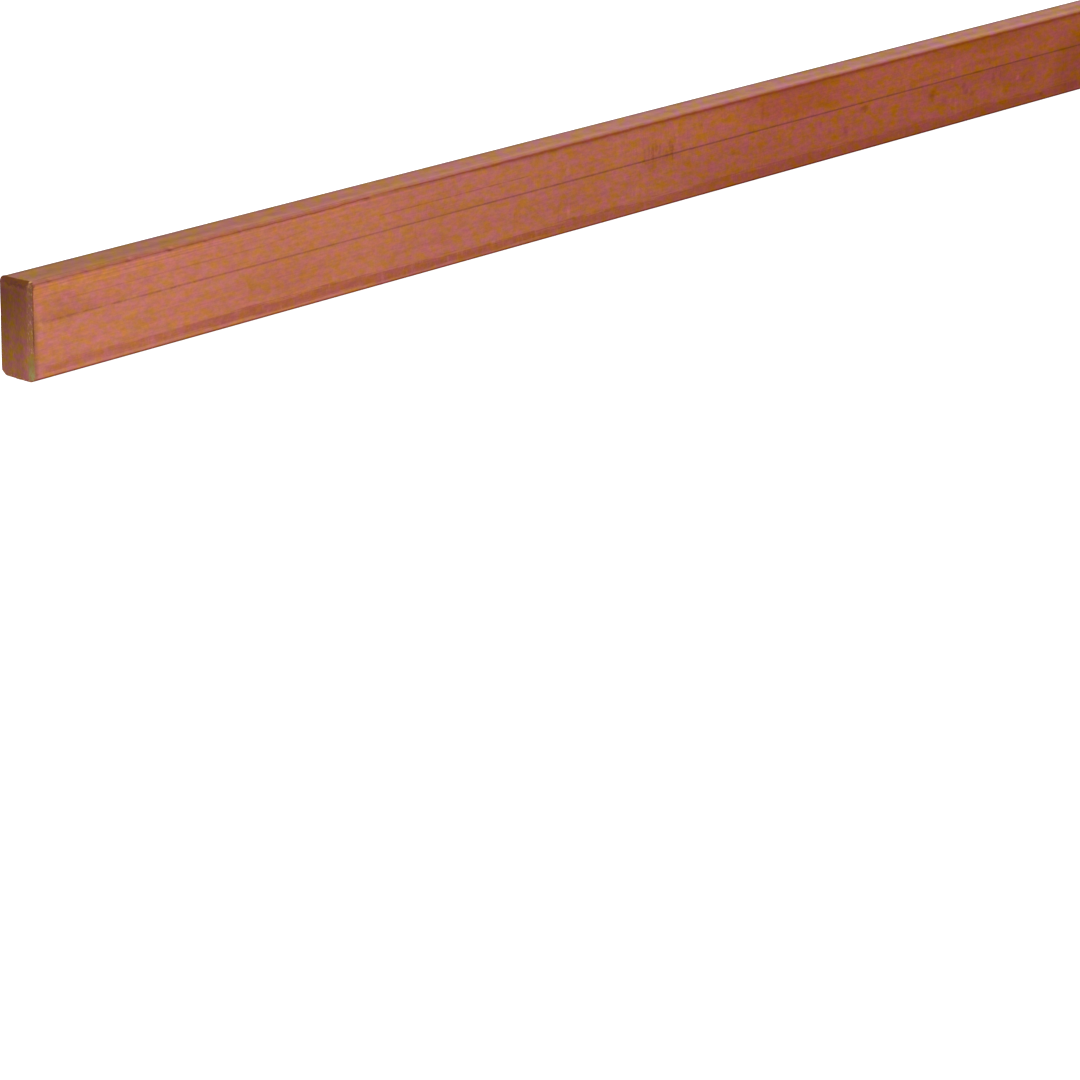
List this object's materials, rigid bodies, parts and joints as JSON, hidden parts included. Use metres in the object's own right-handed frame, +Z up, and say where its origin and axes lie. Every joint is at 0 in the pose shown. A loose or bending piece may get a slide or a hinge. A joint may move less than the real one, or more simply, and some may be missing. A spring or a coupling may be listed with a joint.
{
  "type": "copper busbar",
  "caption": "Solid rectangular copper bar with rounded long edges and plain sawn ends, for carrying heavy current in switchgear and distribution boards.",
  "frame": {"origin": "middle of the narrow face that the bar stands on", "axes": "+X along the bar, +Y through its thickness, +Z up its width"},
  "size_m": [1, 0.01, 0.02],
  "materials": {
    "bare_copper": "mill-finish bare copper, hard drawn, dulled by handling and air"
  },
  "bodies": {
    "root": {"busbar": "bare_copper"}
  },
  "joints": []
}
